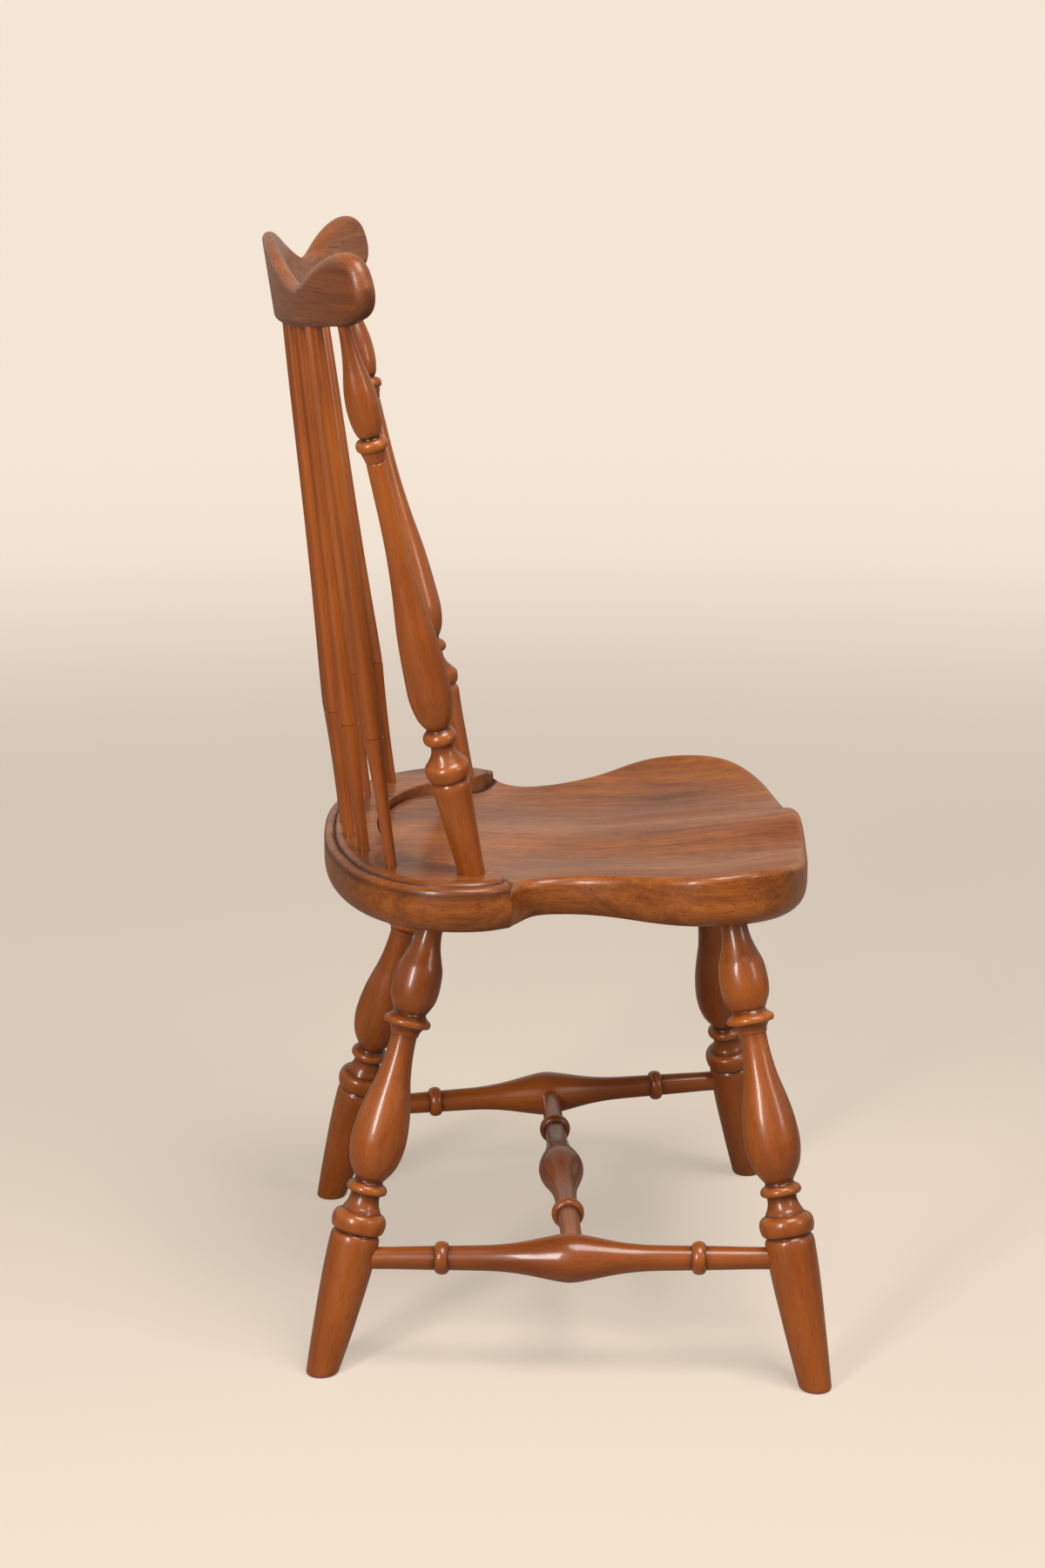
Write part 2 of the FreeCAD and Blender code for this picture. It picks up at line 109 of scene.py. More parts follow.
def curve_through(points, shares):
    """Samples of a smooth curve through the points, at shares of its length along the chords."""
    points = np.asarray(points, float)
    chords = np.concatenate([[0.0], np.cumsum(np.linalg.norm(np.diff(points, axis=0), axis=1))])
    return cubic(chords, points, np.asarray(shares) * chords[-1])


def half_curve(points, shares):
    """Samples of one side's half of a curve that is mirrored at its last point."""
    points = np.asarray(points, float)
    mirrored = points[-2::-1] * np.array([-1.0, 1.0])
    return curve_through(np.vstack([points, mirrored]), 0.5 * np.asarray(shares))


def distance_to(points, line, closed=False):
    """Shortest distance from each point to a line of short straight runs."""
    first = line
    second = np.roll(line, -1, 0)
    if not closed:
        first, second = line[:-1], line[1:]
    run = second - first
    square = np.maximum((run ** 2).sum(1), 1e-9)
    best = np.empty(len(points))
    for start in range(0, len(points), 4000):
        some = points[start:start + 4000, None, :] - first[None]
        share = np.clip((some * run[None]).sum(2) / square[None], 0.0, 1.0)
        best[start:start + 4000] = np.sqrt(
            ((some - share[:, :, None] * run[None]) ** 2).sum(2).min(1))
    return best


def rounding(distance, radius):
    """How far a rounded edge falls, at a distance in from its outline."""
    short = np.clip(radius - distance, 0.0, radius)
    return radius - np.sqrt(np.maximum(radius ** 2 - short ** 2, 0.0))


# Wood: a brown stain under glossy lacquer, over open grain. Grain runs along a turned piece's own
# axis, from front to back on the seat, and along the bow of the comb rail, whose attribute "board"
# gives places on the flat board. The colour attribute "tone" carries painted shade in grooves,
# hollows, under the seat and comb rail and round the feet of the stiles and spindles (red), and
# painted highlight on rounded edges and crests (green).

def node(tree, kind, **values):
    made = tree.nodes.new(kind)
    for name, value in values.items():
        setattr(made, name, value)
    return made


def link(tree, source, target):
    tree.links.new(source, target)


def ramp(tree, source, stops):
    made = node(tree, "ShaderNodeValToRGB")
    link(tree, source, made.inputs["Fac"])
    elements = made.color_ramp.elements
    while len(elements) < len(stops):
        elements.new(0.5)
    for element, (position, colour) in zip(elements, stops):
        element.position = position
        element.color = (colour[0], colour[1], colour[2], 1.0)
    return made.outputs["Color"]


def mix(tree, mode, factor, first, second):
    """A mix of two colours. Sockets 0, 6 and 7 are the factor and the colours."""
    made = node(tree, "ShaderNodeMix", data_type="RGBA", blend_type=mode)
    made.clamp_factor = True
    for number, value in ((0, factor), (6, first), (7, second)):
        socket = made.inputs[number]
        if isinstance(value, bpy.types.NodeSocket):
            link(tree, value, socket)
        elif isinstance(value, tuple):
            socket.default_value = (*value, 1.0)
        else:
            socket.default_value = value
    return made.outputs[2]


def maths(tree, operation, *values):
    made = node(tree, "ShaderNodeMath", operation=operation)
    for socket, value in zip(made.inputs, values):
        if isinstance(value, bpy.types.NodeSocket):
            link(tree, value, socket)
        else:
            socket.default_value = value
    return made.outputs[0]


def srgb(red, green, blue):
    """A colour given as a screen shows it, turned into the linear values of a shader."""
    out = []
    for value in (red, green, blue):
        value = value / 255.0
        out.append(value / 12.92 if value <= 0.04045 else ((value + 0.055) / 1.055) ** 2.4)
    return tuple(out)


PORE_STAIN = srgb(120, 70, 44)
# painted shade: the dark colour that the tone attribute's red mixes into hollows and undersides
PAINTED_GROOVE_SHADE = srgb(76, 38, 22)
# painted highlight: the paler colour that the tone attribute's green screens onto edges and crests
PAINTED_EDGE_HIGHLIGHT = srgb(120, 66, 20)
LACQUER_IOR = 1.4


def wood(name, light, middle, dark, along="Z", source=None, streak=0.5, ring=0.0, pore=0.4,
         pore_long=55.0, rough=0.32, coat=0.45, coat_rough=0.12, offset=0.0):
    """Stained and lacquered wood. Grain runs along one axis of the object, or of an attribute."""
    material = bpy.data.materials.new(name)
    material.use_nodes = True
    tree = material.node_tree
    tree.nodes.clear()
    out = node(tree, "ShaderNodeOutputMaterial")
    shader = node(tree, "ShaderNodeBsdfPrincipled")
    link(tree, shader.outputs["BSDF"], out.inputs["Surface"])
    if source:
        place = node(tree, "ShaderNodeAttribute", attribute_name=source).outputs["Vector"]
    else:
        place = node(tree, "ShaderNodeTexCoord").outputs["Object"]

    def mapped(across, lengthwise, move=0.0):
        mapping = node(tree, "ShaderNodeMapping")
        scale = (across, across, lengthwise) if along == "Z" else (across, lengthwise, across)
        mapping.inputs["Scale"].default_value = scale
        mapping.inputs["Location"].default_value = (offset + move, offset * 1.7 + move, offset * 0.6)
        link(tree, place, mapping.inputs["Vector"])
        return mapping.outputs["Vector"]

    def noise(vector, detail, roughness=0.55, distortion=0.0):
        made = node(tree, "ShaderNodeTexNoise")
        made.inputs["Scale"].default_value = 1.0
        made.inputs["Detail"].default_value = detail
        made.inputs["Roughness"].default_value = roughness
        made.inputs["Distortion"].default_value = distortion
        link(tree, vector, made.inputs["Vector"])
        return made.outputs["Fac"]

    def swing(value, amount):
        """A texture value centred on a half, scaled to swing about nought."""
        return maths(tree, "MULTIPLY", maths(tree, "SUBTRACT", value, 0.5), amount)

    cloud = noise(mapped(14.0, 5.0, 7.0), 3.0)
    broad = noise(mapped(95.0, 4.5), 3.0, 0.6, 0.4)
    fine = noise(mapped(420.0, 14.0, 3.0), 3.0, 0.6)
    figure = maths(tree, "ADD", 0.5, swing(cloud, 1.1))
    figure = maths(tree, "ADD", figure, swing(broad, 1.1 * streak))
    figure = maths(tree, "ADD", figure, swing(fine, 0.9 * streak))
    if ring:
        warp = noise(mapped(9.0, 1.6, 2.0), 2.0, 0.45)
        waves = maths(tree, "SINE", maths(tree, "MULTIPLY", warp, 150.0))
        figure = maths(tree, "ADD", figure, maths(tree, "MULTIPLY", waves, ring))
    colour = ramp(tree, figure, ((0.15, light), (0.5, middle), (0.88, dark)))

    # open pores: short dark dashes along the grain, thicker in some growth than in other
    dashes = noise(mapped(1000.0, pore_long, 1.0), 1.0, 0.5)
    gather = noise(mapped(40.0, 3.0, 5.0), 2.0)
    edge = maths(tree, "MULTIPLY_ADD", gather, -0.25, 0.7)
    mask = maths(tree, "MULTIPLY", maths(tree, "SUBTRACT", dashes, edge), 9.0)
    clamp = node(tree, "ShaderNodeClamp")
    link(tree, mask, clamp.inputs["Value"])
    mask = maths(tree, "MULTIPLY", clamp.outputs[0], pore)
    colour = mix(tree, "MULTIPLY", mask, colour, PORE_STAIN)

    tone = node(tree, "ShaderNodeAttribute", attribute_name="tone")
    parts = node(tree, "ShaderNodeSeparateColor")
    link(tree, tone.outputs["Color"], parts.inputs["Color"])
    # painted shade from the tone's red, painted highlight from its green
    colour = mix(tree, "MULTIPLY", parts.outputs["Red"], colour, PAINTED_GROOVE_SHADE)
    painted_highlight = maths(tree, "MULTIPLY", parts.outputs["Green"], 0.35)
    colour = mix(tree, "SCREEN", painted_highlight, colour, PAINTED_EDGE_HIGHLIGHT)
    link(tree, colour, shader.inputs["Base Color"])

    uneven = maths(tree, "MULTIPLY_ADD", cloud, 0.16, rough - 0.08)
    link(tree, maths(tree, "MULTIPLY_ADD", mask, 0.2, uneven), shader.inputs["Roughness"])
    shader.inputs["Coat Weight"].default_value = coat
    shader.inputs["Coat Roughness"].default_value = coat_rough
    shader.inputs["Coat IOR"].default_value = LACQUER_IOR
    shader.inputs["IOR"].default_value = LACQUER_IOR
    bump = node(tree, "ShaderNodeBump")
    bump.inputs["Strength"].default_value = 0.2
    bump.inputs["Distance"].default_value = 0.0004
    height = maths(tree, "SUBTRACT", maths(tree, "MULTIPLY", fine, 0.4), mask)
    link(tree, height, bump.inputs["Height"])
    link(tree, bump.outputs["Normal"], shader.inputs["Normal"])
    return material


TURNED = [wood("turned_wood_%d" % k, srgb(162, 88, 28), srgb(134, 67, 18), srgb(98, 43, 11),
               streak=0.32, pore=0.25, offset=3.1 * k) for k in range(4)]
SEAT_WOOD = wood("seat_wood", srgb(158, 90, 32), srgb(128, 67, 21), srgb(90, 40, 12), along="Y",
                 streak=0.7, ring=0.05, pore=0.5, rough=0.36, coat=0.3, offset=1.3)
COMB_WOOD = wood("comb_wood", srgb(138, 80, 42), srgb(112, 59, 28), srgb(82, 40, 18),
                 source="board", streak=0.6, ring=0.05, pore=0.55, pore_long=16.0, rough=0.42,
                 coat=0.25, coat_rough=0.2, offset=5.2)


def add_mesh(name, vertices, faces, material, tone, place=None):
    """A smooth mesh object. Vertices are in metres, and tone has one row for each of them."""
    mesh = bpy.data.meshes.new(name)
    mesh.from_pydata([tuple(v) for v in vertices], [], faces)
    mesh.polygons.foreach_set("use_smooth", [True] * len(mesh.polygons))
    layer = mesh.color_attributes.new("tone", "FLOAT_COLOR", "POINT")
    values = np.ones((len(vertices), 4), np.float32)
    values[:, :2] = tone
    values[:, 2] = 0.0
    layer.data.foreach_set("color", values.ravel())
    mesh.materials.append(material)
    mesh.update()
    made = bpy.data.objects.new(name, mesh)
    bpy.context.scene.collection.objects.link(made)
    if place is not None:
        made.matrix_world = place
    return made


def dress(made, node_name):
    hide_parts(node_name)
    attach(made, "root")


def sharpen(made, angle):
    """Marks the edges where the faces turn by more than the angle, in degrees."""
    limit = math.cos(math.radians(angle))
    mesh = made.data
    normals = {}
    flags = [False] * len(mesh.edges)
    edge_index = {tuple(sorted(e.vertices)): e.index for e in mesh.edges}
    for polygon in mesh.polygons:
        for key in polygon.edge_keys:
            index = edge_index[key]
            if index in normals:
                if normals[index].dot(polygon.normal) < limit:
                    flags[index] = True
            else:
                normals[index] = polygon.normal.copy()
    attribute = mesh.attributes.new("sharp_edge", "BOOLEAN", "EDGE")
    attribute.data.foreach_set("value", flags)


# Turned pieces. A profile is a list of runs, each a smooth curve through points given as distance
# along the axis and radius. Runs meet at corners.

def smooth_run(run, step):
    """Samples of one run, a cubic that makes no bulge between its points."""
    stations = np.array([p[0] for p in run], float)
    radii = np.array([p[1] for p in run], float)
    if len(run) == 2:
        count = 2
        if stations[1] - stations[0] > 30.0:
            count = 6
        share = np.linspace(0.0, 1.0, count)
        return (stations[0] + share * (stations[1] - stations[0]),
                radii[0] + share * (radii[1] - radii[0]))
    gaps = np.diff(stations)
    slopes = np.diff(radii) / gaps
    tangents = np.zeros(len(run))
    for i in range(1, len(run) - 1):
        if slopes[i - 1] * slopes[i] > 0:
            before, after = gaps[i - 1], gaps[i]
            w1, w2 = 2 * after + before, after + 2 * before
            tangents[i] = (w1 + w2) / (w1 / slopes[i - 1] + w2 / slopes[i])
    tangents[0] = 1.5 * slopes[0] - 0.5 * tangents[1]
    tangents[-1] = 1.5 * slopes[-1] - 0.5 * tangents[-2]
    s_out, r_out = [], []
    for i in range(len(run) - 1):
        count = max(2, int(math.ceil(gaps[i] / step)))
        t = np.linspace(0.0, 1.0, count, endpoint=False)
        h00 = 2 * t ** 3 - 3 * t ** 2 + 1
        h10 = t ** 3 - 2 * t ** 2 + t
        h01 = -2 * t ** 3 + 3 * t ** 2
        h11 = t ** 3 - t ** 2
        s_out.extend(stations[i] + t * gaps[i])
        r_out.extend(h00 * radii[i] + h10 * gaps[i] * tangents[i] + h01 * radii[i + 1]
                     + h11 * gaps[i] * tangents[i + 1])
    s_out.append(stations[-1])
    r_out.append(radii[-1])
    return np.array(s_out), np.array(r_out)


def profile_points(runs, step=2.0):
    stations, radii = [], []
    for run in runs:
        s, r = smooth_run(run, step)
        for one_s, one_r in zip(s, r):
            if stations and abs(one_s - stations[-1]) < 1e-6 and abs(one_r - radii[-1]) < 1e-6:
                continue
            stations.append(one_s)
            radii.append(one_r)
    return np.array(stations), np.array(radii)


def groove_tone(stations, radii, reach=5.0):
    """Painted shade in the hollows of a profile and painted highlight on its crests, by its mean
    radius nearby.
    """
    tone = np.zeros((len(stations), 2))
    for i, (s, r) in enumerate(zip(stations, radii)):
        near = np.abs(stations - s) < reach * 1.6
        weight = np.exp(-((stations[near] - s) / reach) ** 2)
        gaps = np.gradient(stations)[near] + 0.05
        mean = np.sum(radii[near] * weight * gaps) / np.sum(weight * gaps)
        tone[i, 0] = np.clip((mean - r) / 2.2, 0.0, 1.0)
        tone[i, 1] = np.clip((r - mean) / 1.6, 0.0, 1.0)
    return tone


def axis_frame(start, end):
    """Directions across and along a turned piece."""
    z = (end - start) / np.linalg.norm(end - start)
    y = np.array([0.0, 1.0, 0.0]) - z * z[1]
    if np.linalg.norm(y) < 0.2:
        y = np.array([0.0, 0.0, 1.0]) - z * z[2]
    y /= np.linalg.norm(y)
    x = np.cross(y, z)
    return x, y, z


FLOOR_CUT_REACH = 40.0
END_TONE = [[0.3, 0.0]]


def turned(name, runs, start, end, material, sides=56, step=2.0, floor_cut=False):
    """A turned piece in the place of the node of that name. A leg's foot is cut level."""
    stations, radii = profile_points(runs, step)
    tone = groove_tone(stations, radii)
    x, y, z = axis_frame(start, end)
    angles = np.linspace(0.0, 2 * math.pi, sides, endpoint=False)
    cosines, sines = np.cos(angles), np.sin(angles)
    rings = []
    for s, r in zip(stations, radii):
        along = np.full(sides, s)
        if floor_cut and s < FLOOR_CUT_REACH:
            level = -(start[2] + r * (cosines * x[2] + sines * y[2])) / z[2]
            along = s + level * (1.0 - s / FLOOR_CUT_REACH)
        rings.append(np.stack([cosines * r, sines * r, along], 1))
    vertices = np.concatenate(rings) / 1000.0
    faces = []
    for k in range(len(rings) - 1):
        for i in range(sides):
            j = (i + 1) % sides
            faces.append((k * sides + i, k * sides + j, (k + 1) * sides + j, (k + 1) * sides + i))
    first = rings[0].mean(0) / 1000.0
    last = rings[-1].mean(0) / 1000.0
    base = len(vertices)
    vertices = np.vstack([vertices, first, last])
    top = (len(rings) - 1) * sides
    for i in range(sides):
        j = (i + 1) % sides
        faces.append((base, j, i))
        faces.append((base + 1, top + i, top + j))
    full_tone = np.vstack([np.repeat(tone, sides, 0), END_TONE, END_TONE])
    place = Matrix(((x[0], y[0], z[0], start[0] / 1000), (x[1], y[1], z[1], start[1] / 1000),
                    (x[2], y[2], z[2], start[2] / 1000), (0, 0, 0, 1)))
    made = add_mesh(name + "_turned", vertices, faces, material, full_tone, place)
    sharpen(made, 38.0)
    dress(made, name)


LEG_RUNS = [
    [(0.0, 10.5), (0.6, 12.0), (2.2, 13.1)],
    [(2.2, 13.1), (45.0, 17.0), (95.0, 20.0), (112.0, 20.3), (116.6, 19.9), (118.6, 18.8)],
    [(118.6, 18.8), (119.6, 18.2), (120.6, 19.0)],
    [(120.6, 19.0), (122.3, 21.0), (125.5, 22.0), (129.0, 22.3), (132.5, 21.8), (135.2, 20.3),
     (137.0, 17.6)],
    [(137.0, 17.6), (137.4, 16.3), (140.0, 15.2), (141.0, 14.5)],
    [(141.0, 14.5), (145.5, 12.7), (149.5, 12.0), (152.6, 12.2)],
    [(152.6, 12.2), (153.2, 14.6), (154.6, 16.4), (156.5, 16.8), (158.6, 16.2), (160.4, 14.6),
     (161.4, 12.6)],
    [(161.4, 12.6), (163.4, 11.6), (165.2, 12.2)],
    [(165.2, 12.2), (170.0, 15.5), (175.0, 18.3), (180.0, 20.2), (190.0, 22.2), (197.0, 22.7),
     (205.0, 22.4), (215.0, 21.4), (225.0, 19.8), (235.0, 17.6), (250.0, 14.0), (260.0, 12.4),
     (270.0, 11.3), (280.0, 10.7), (285.5, 10.6)],
    [(285.5, 10.6), (286.2, 11.6), (288.2, 11.7)],
    [(288.2, 11.7), (291.0, 12.8), (293.8, 14.9)],
    [(293.8, 14.9), (294.4, 18.2), (295.6, 19.0), (297.4, 19.2), (299.2, 18.6), (301.0, 16.2),
     (303.0, 14.2), (304.8, 13.4)],
    [(304.8, 13.4), (310.0, 15.9), (315.0, 18.2), (320.0, 19.3), (327.0, 19.7), (335.0, 19.3),
     (342.0, 18.4), (350.0, 15.7), (358.0, 13.0), (365.0, 11.4), (372.0, 10.7), (380.0, 10.6)],
    [(380.0, 10.6), (404.0, 10.6)],
]

STILE_RUNS = [
    [(-22.0, 11.0), (4.0, 11.0)],
    [(4.0, 11.0), (15.0, 11.5), (35.0, 12.7), (55.0, 13.8), (72.0, 15.2), (77.0, 15.7),
     (79.6, 15.2), (80.6, 14.6)],
    [(80.6, 14.6), (81.5, 14.2), (82.5, 14.7)],
    [(82.5, 14.7), (84.5, 16.3), (88.0, 17.4), (92.0, 17.8), (95.0, 17.0), (97.2, 15.0)],
    [(97.2, 15.0), (98.0, 14.4), (100.0, 13.0)],
    [(100.0, 13.0), (104.0, 10.4), (108.5, 9.1), (112.6, 8.9)],
    [(112.6, 8.9), (113.4, 11.2), (115.4, 13.0), (118.0, 13.6), (121.0, 12.8), (123.6, 10.6),
     (124.4, 9.4)],
    [(124.4, 9.4), (125.8, 8.9), (127.2, 9.5)],
    [(127.2, 9.5), (132.0, 12.5), (135.0, 13.9), (140.0, 15.3), (145.0, 16.3), (156.0, 17.3),
     (165.0, 17.1), (175.0, 16.7), (185.0, 16.3), (195.0, 15.7), (205.0, 15.0), (215.0, 14.0),
     (225.0, 12.8), (235.0, 11.6), (245.0, 10.6), (255.0, 9.7), (265.0, 9.0), (275.0, 8.4),
     (290.0, 7.9), (310.0, 7.6), (344.6, 7.5)],
    [(344.6, 7.5), (345.4, 7.0), (346.2, 7.6)],
    [(346.2, 7.6), (350.0, 8.4), (353.0, 9.4), (355.2, 9.7)],
    [(355.2, 9.7), (355.8, 11.2), (357.6, 12.1), (359.6, 12.4), (361.8, 11.9), (363.6, 10.4),
     (364.4, 8.2)],
    [(364.4, 8.2), (365.4, 7.6), (366.4, 8.4)],
    [(366.4, 8.4), (370.0, 10.1), (375.0, 11.3), (380.0, 12.1), (390.0, 12.6), (400.0, 12.0),
     (410.0, 10.4), (420.0, 8.3), (430.0, 6.7), (440.0, 5.6), (450.0, 4.9), (456.0, 4.8)],
    [(456.0, 4.8), (468.0, 4.8)],
]

SIDE_HALF = [
    [(0.0, 20.0), (4.5, 19.7), (14.5, 18.0), (24.5, 16.0), (34.5, 14.0), (44.5, 12.4),
     (54.5, 11.3), (64.5, 10.6), (74.5, 10.3), (94.0, 10.0), (98.6, 9.9)],
    [(98.6, 9.9), (99.4, 11.4), (101.2, 13.0), (104.5, 13.6), (107.8, 13.0), (109.6, 11.4),
     (110.4, 9.8)],
    [(110.4, 9.8), (130.0, 9.4), (150.0, 9.0), (174.0, 9.0)],
]

CROSS_HALF = [
    [(0.0, 19.5), (5.0, 19.2), (13.0, 17.9), (22.0, 16.0), (32.0, 13.8), (42.0, 12.0),
     (52.0, 10.7), (64.0, 9.7), (80.0, 9.3), (97.6, 9.2)],
    [(97.6, 9.2), (98.4, 11.4), (100.2, 13.1), (103.5, 13.8), (106.8, 13.1), (108.6, 11.4),
     (109.4, 9.1)],
    [(109.4, 9.1), (135.0, 8.8), (165.0, 8.5), (190.0, 8.5)],
]


def both_ways(half):
    """A stretcher's whole profile, from its middle out to either end."""
    mirrored = [[(-s, r) for s, r in run[::-1]] for run in half[::-1]]
    return mirrored + half


def spindle_runs(length):
    return [
        [(-12.0, 4.7), (3.0, 4.7)],
        [(3.0, 4.7), (30.0, 4.9), (50.0, 5.3), (70.0, 6.0), (90.0, 7.0), (107.0, 8.1)],
        [(107.0, 8.1), (107.6, 7.2), (108.2, 7.9)],
        [(108.2, 7.9), (133.0, 7.5), (160.0, 6.8), (183.0, 6.3), (208.0, 5.8), (278.0, 5.25),
         (358.0, 5.1), (length - 5.0, 4.7)],
        [(length - 5.0, 4.7), (length + 12.0, 4.7)],
    ]


def leg_axis(end, side, height):
    """Where a leg's axis passes that height."""
    if end == "rear":
        return at(side * (198.5 - 0.1755 * height), 155.1 - 0.255 * height, height)
    return at(side * (244.8 - 0.2354 * height), -243.7 + 0.1725 * height, height)


def shifted(runs, extra):
    """A longer leg's profile: its foot grows and the rest moves up."""
    moved = [[(s + extra, r) for s, r in run] for run in runs]
    moved[0] = runs[0]
    moved[1] = [runs[1][0]] + moved[1][1:]
    return moved


FRONT_LEG_EXTRA = 6.0
REAR_STRETCHER_Z = 93.0
FRONT_STRETCHER_Z = 102.7
CROSS_FORWARD = 51.0

# wood numbers rotate, so that neighbouring pieces don't share a grain
count = 0
ends = []
for side_name, side in (("left", 1.0), ("right", -1.0)):
    for end, runs in (("rear", LEG_RUNS), ("front", shifted(LEG_RUNS, FRONT_LEG_EXTRA))):
        turned("%s_%s_leg" % (end, side_name), runs, leg_axis(end, side, 0.0),
               leg_axis(end, side, SEAT_BOTTOM), TURNED[count % 4], sides=72, floor_cut=True)
        count += 1
    rear = leg_axis("rear", side, REAR_STRETCHER_Z)
    front = leg_axis("front", side, FRONT_STRETCHER_Z)
    turned("%s_side_stretcher" % side_name, both_ways(SIDE_HALF), (rear + front) / 2, front,
           TURNED[count % 4])
    count += 1
    share = (rear[1] - TIP_LINE + CROSS_FORWARD) / (rear[1] - front[1])
    ends.append(rear + (front - rear) * share)
turned("cross_stretcher", both_ways(CROSS_HALF), (ends[0] + ends[1]) / 2, ends[1], TURNED[1])

for side_name, side, material in (("left", 1.0, TURNED[2]), ("right", -1.0, TURNED[0])):
    turned("%s_stile" % side_name, STILE_RUNS,
           at(side * STILE_FOOT_X, STILE_FOOT_BACK, PLATFORM_TOP),
           twisted(at(side * STILE_HEAD_X, STILE_HEAD_BACK, STILE_HEAD_Z)), material, sides=64)


def on_arc(across, middle_back, radius):
    """How far back a bow is, which is farthest back in the middle."""
    return middle_back - radius + math.sqrt(radius * radius - across * across)


def comb_bottom(across):
    return COMB_BOTTOM + COMB_END_RISE * (across / STILE_HEAD_X) ** 2


SPINDLES = ("right_outer", "right_middle", "right_inner", "centre",
            "left_inner", "left_middle", "left_outer")
# feet of the stiles and spindles on the platform: across, back, radius
FEET = [(STILE_FOOT_X, STILE_FOOT_BACK, 11.0), (-STILE_FOOT_X, STILE_FOOT_BACK, 11.0)]
for number, label in enumerate(SPINDLES):
    foot_x = (number - 3) * SPINDLE_FOOT_PITCH
    head_x = (number - 3) * SPINDLE_HEAD_PITCH
    foot_back = on_arc(foot_x, SPINDLE_FOOT_BACK, SPINDLE_FOOT_BOW)
    FEET.append((foot_x, foot_back, 4.9))
    foot = at(foot_x, foot_back, PLATFORM_TOP)
    head = twisted(at(head_x, on_arc(head_x, COMB_BACK, COMB_BOW), comb_bottom(head_x)))
    turned("%s_spindle" % label, spindle_runs(float(np.linalg.norm(head - foot))), foot, head,
           TURNED[number % 4], sides=40, step=4.0)


# Comb rail: the board's outline unrolled flat, then a front and a rear skin with rounded edges

# distance round the bow, height and thickness of the top edge, then the ear's own outline
COMB_TOP = ((0.0, 907.5, 10.0), (30.0, 906.0, 10.0), (56.0, 902.0, 10.0), (80.0, 896.0, 10.0),
            (102.0, 889.3, 10.5), (121.0, 883.5, 11.0), (139.0, 878.9, 11.5), (156.0, 877.0, 12.0),
            (174.0, 879.8, 13.0), (196.0, 888.0, 14.0), (219.0, 896.6, 15.0), (242.0, 903.2, 16.0))
EAR = ((262.0, 906.4), (274.0, 905.2), (283.0, 900.0), (288.0, 890.5), (289.2, 879.0),
       (286.0, 867.5), (278.0, 859.8), (266.0, 856.0))


EAR_THICK = ((270.0, 18.0), (289.2, 19.0))
COMB_EDGE_RADIUS = 5.5


def comb_outline():
    """One side of the flat board's outline: the top, round the ear and back along the bottom."""
    arcs = np.array([row[0] for row in COMB_TOP] + [row[0] for row in EAR])
    heights = np.array([row[1] for row in COMB_TOP] + [row[1] for row in EAR])
    low = np.linspace(256.0, 0.0, 12)
    across = COMB_BOW * np.sin(low / COMB_BOW)
    points = np.vstack([np.stack([arcs, heights], 1),
                        np.stack([low, comb_bottom(across)], 1)])
    before = points[1:4][::-1] * np.array([-1.0, 1.0])
    after = points[-4:-1][::-1] * np.array([-1.0, 1.0])
    return curve_through(np.vstack([before, points, after]), np.linspace(0.0, 1.0, 1600))


